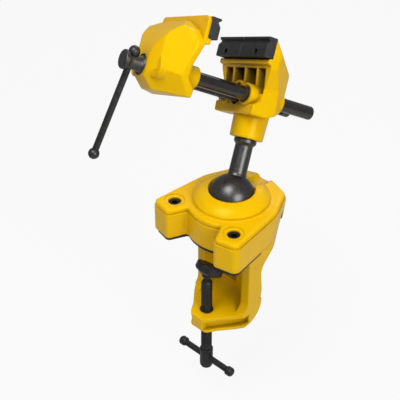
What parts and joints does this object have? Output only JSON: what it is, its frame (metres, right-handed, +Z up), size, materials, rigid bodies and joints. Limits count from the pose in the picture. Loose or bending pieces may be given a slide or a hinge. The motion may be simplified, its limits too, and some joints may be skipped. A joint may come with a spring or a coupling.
{
  "type": "multi-angle bench vise",
  "caption": "Parallel-jaw vise on a tilting, swivelling and turning ball joint, with grooved pads, twin guide rods and a C-clamp for a bench edge.",
  "frame": {"origin": "underside of the rubber bench pad, straight below the centre of the ball", "axes": "+Z up from the bench, -Y towards the opening of the clamp throat, +Y along the stud slot of the ball cover"},
  "size_m": [0.1397, 0.1795, 0.3349],
  "materials": {
    "body_paint": "gloss",
    "fastener_black": "black oxide, satin",
    "inner_steel": "satin",
    "pad_rubber": "matte",
    "insert_steel": "black oxide, satin",
    "seat_steel": "satin",
    "ball_steel": "dark polished",
    "pad_plastic": "fine grain",
    "nut_bronze": "satin",
    "rod_black": "gloss black",
    "screw_steel": "satin black oxide",
    "handle_steel": "satin black oxide",
    "clamp_black": "black oxide"
  },
  "bodies": {
    "base": {"base_body": "body_paint", "ball_cover": "body_paint", "cover_screws_front": "fastener_black", "cover_screws_rear": "fastener_black", "pressure_plate": "inner_steel", "base_pad": "pad_rubber", "clamp_insert": "insert_steel"},
    "seat": {"ball_seat": "seat_steel"},
    "ball": {"ball_stud": "ball_steel"},
    "head": {"fixed_jaw": "body_paint", "fixed_jaw_pad": "pad_plastic", "fixed_pad_screws": "fastener_black", "lead_nut": "nut_bronze", "guide_bushes": "nut_bronze", "stud_lock_screw": "fastener_black"},
    "jaw": {"moving_jaw": "body_paint", "moving_jaw_pad": "pad_plastic", "moving_pad_screws": "fastener_black", "guide_rod_near": "rod_black", "guide_rod_far": "rod_black", "guide_rod_pins": "inner_steel", "thrust_washer": "inner_steel"},
    "screw": {"lead_screw": "screw_steel", "screw_clip": "inner_steel"},
    "handle": {"handle_bar": "handle_steel", "handle_knob_top": "handle_steel", "handle_knob_bottom": "handle_steel"},
    "clamp_nose": {"swivel_stud": "clamp_black"},
    "clamp_pad": {"clamp_shoe": "clamp_black"},
    "clamp_spindle": {"clamp_screw": "clamp_black"},
    "clamp_tee": {"clamp_bar": "clamp_black", "clamp_knob_left": "clamp_black", "clamp_knob_right": "clamp_black"}
  },
  "joints": [
    {"name": "ball_swivel", "type": "hinge", "parent": "base", "child": "seat", "pos_m": [0, 0, 0.0325], "axis": [0, 0, 1], "continuous": true},
    {"name": "ball_tilt", "type": "hinge", "parent": "seat", "child": "ball", "pos_m": [0, 0, 0.0325], "axis": [-0.9409, -0.3387, 0], "range_deg": [-80, 6]},
    {"name": "head_turn", "type": "hinge", "parent": "ball", "child": "head", "pos_m": [-0.01223, 0.03397, 0.08042], "axis": [-0.2039, 0.5662, 0.7986], "continuous": true},
    {"name": "jaw_travel", "type": "slide", "parent": "head", "child": "jaw", "axis": [-0.4053, -0.7914, 0.4576], "range_m": [-0.0446, 0.027]},
    {"name": "screw_turn", "type": "hinge", "parent": "jaw", "child": "screw", "pos_m": [-0.05782, -0.03112, 0.14599], "axis": [-0.4053, -0.7914, 0.4576], "range_deg": [-5360, 3250]},
    {"name": "handle_slide", "type": "slide", "parent": "screw", "child": "handle", "axis": [0.1037, 0.4575, 0.8831], "range_m": [0, 0.0724]},
    {"name": "clamp_travel", "type": "slide", "parent": "base", "child": "clamp_nose", "axis": [0, 0, 1], "range_m": [-0.03, 0.018]},
    {"name": "shoe_tilt", "type": "hinge", "parent": "clamp_nose", "child": "clamp_pad", "pos_m": [0, -0.03, -0.0335], "axis": [1, 0, 0], "range_deg": [0, 76]},
    {"name": "clamp_turn", "type": "hinge", "parent": "clamp_nose", "child": "clamp_spindle", "pos_m": [0, -0.03, -0.09], "axis": [0, 0, 1], "range_deg": [-7210, 4330]},
    {"name": "tee_slide", "type": "slide", "parent": "clamp_spindle", "child": "clamp_tee", "axis": [1, 0, 0], "range_m": [-0.0175, 0.0175]}
  ],
  "couplings": [
    {"joint": "screw_turn", "follows": "jaw_travel", "rad_per_m": 2094.4},
    {"joint": "clamp_turn", "follows": "clamp_travel", "rad_per_m": 4188.8}
  ]
}
